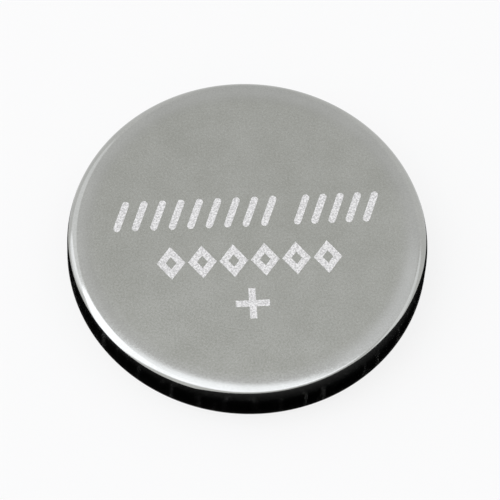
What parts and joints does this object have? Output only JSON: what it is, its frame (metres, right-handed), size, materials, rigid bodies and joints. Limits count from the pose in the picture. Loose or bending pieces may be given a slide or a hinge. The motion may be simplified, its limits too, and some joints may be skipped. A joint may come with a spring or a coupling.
{
  "type": "lithium coin cell",
  "caption": "Round flat lithium coin cell with a crimped steel can as its positive face, a plastic gasket and a steel cap as its negative face.",
  "frame": {"origin": "under the cell's centre, on the flat outer face of the negative cap", "axes": "+Z along the cell's axis, from the negative cap to the positive face; +X is the direction in which the marking on the positive face reads"},
  "size_m": [0.0244, 0.0244, 0.003],
  "materials": {
    "positive_can": "satin stainless steel face with a polished bend and wall",
    "negative_cap": "dull stainless steel",
    "gasket": "matt black polypropylene",
    "cathode_ring": "plain stainless steel strip",
    "cathode_pellet": "matt pressed powder",
    "separator": "unwoven polypropylene felt",
    "lithium_anode": "dull soft metal"
  },
  "bodies": {
    "root": {"positive_can": "positive_can", "negative_cap": "negative_cap", "gasket": "gasket", "cathode_ring": "cathode_ring", "cathode_pellet": "cathode_pellet", "separator": "separator", "lithium_anode": "lithium_anode"}
  },
  "joints": []
}
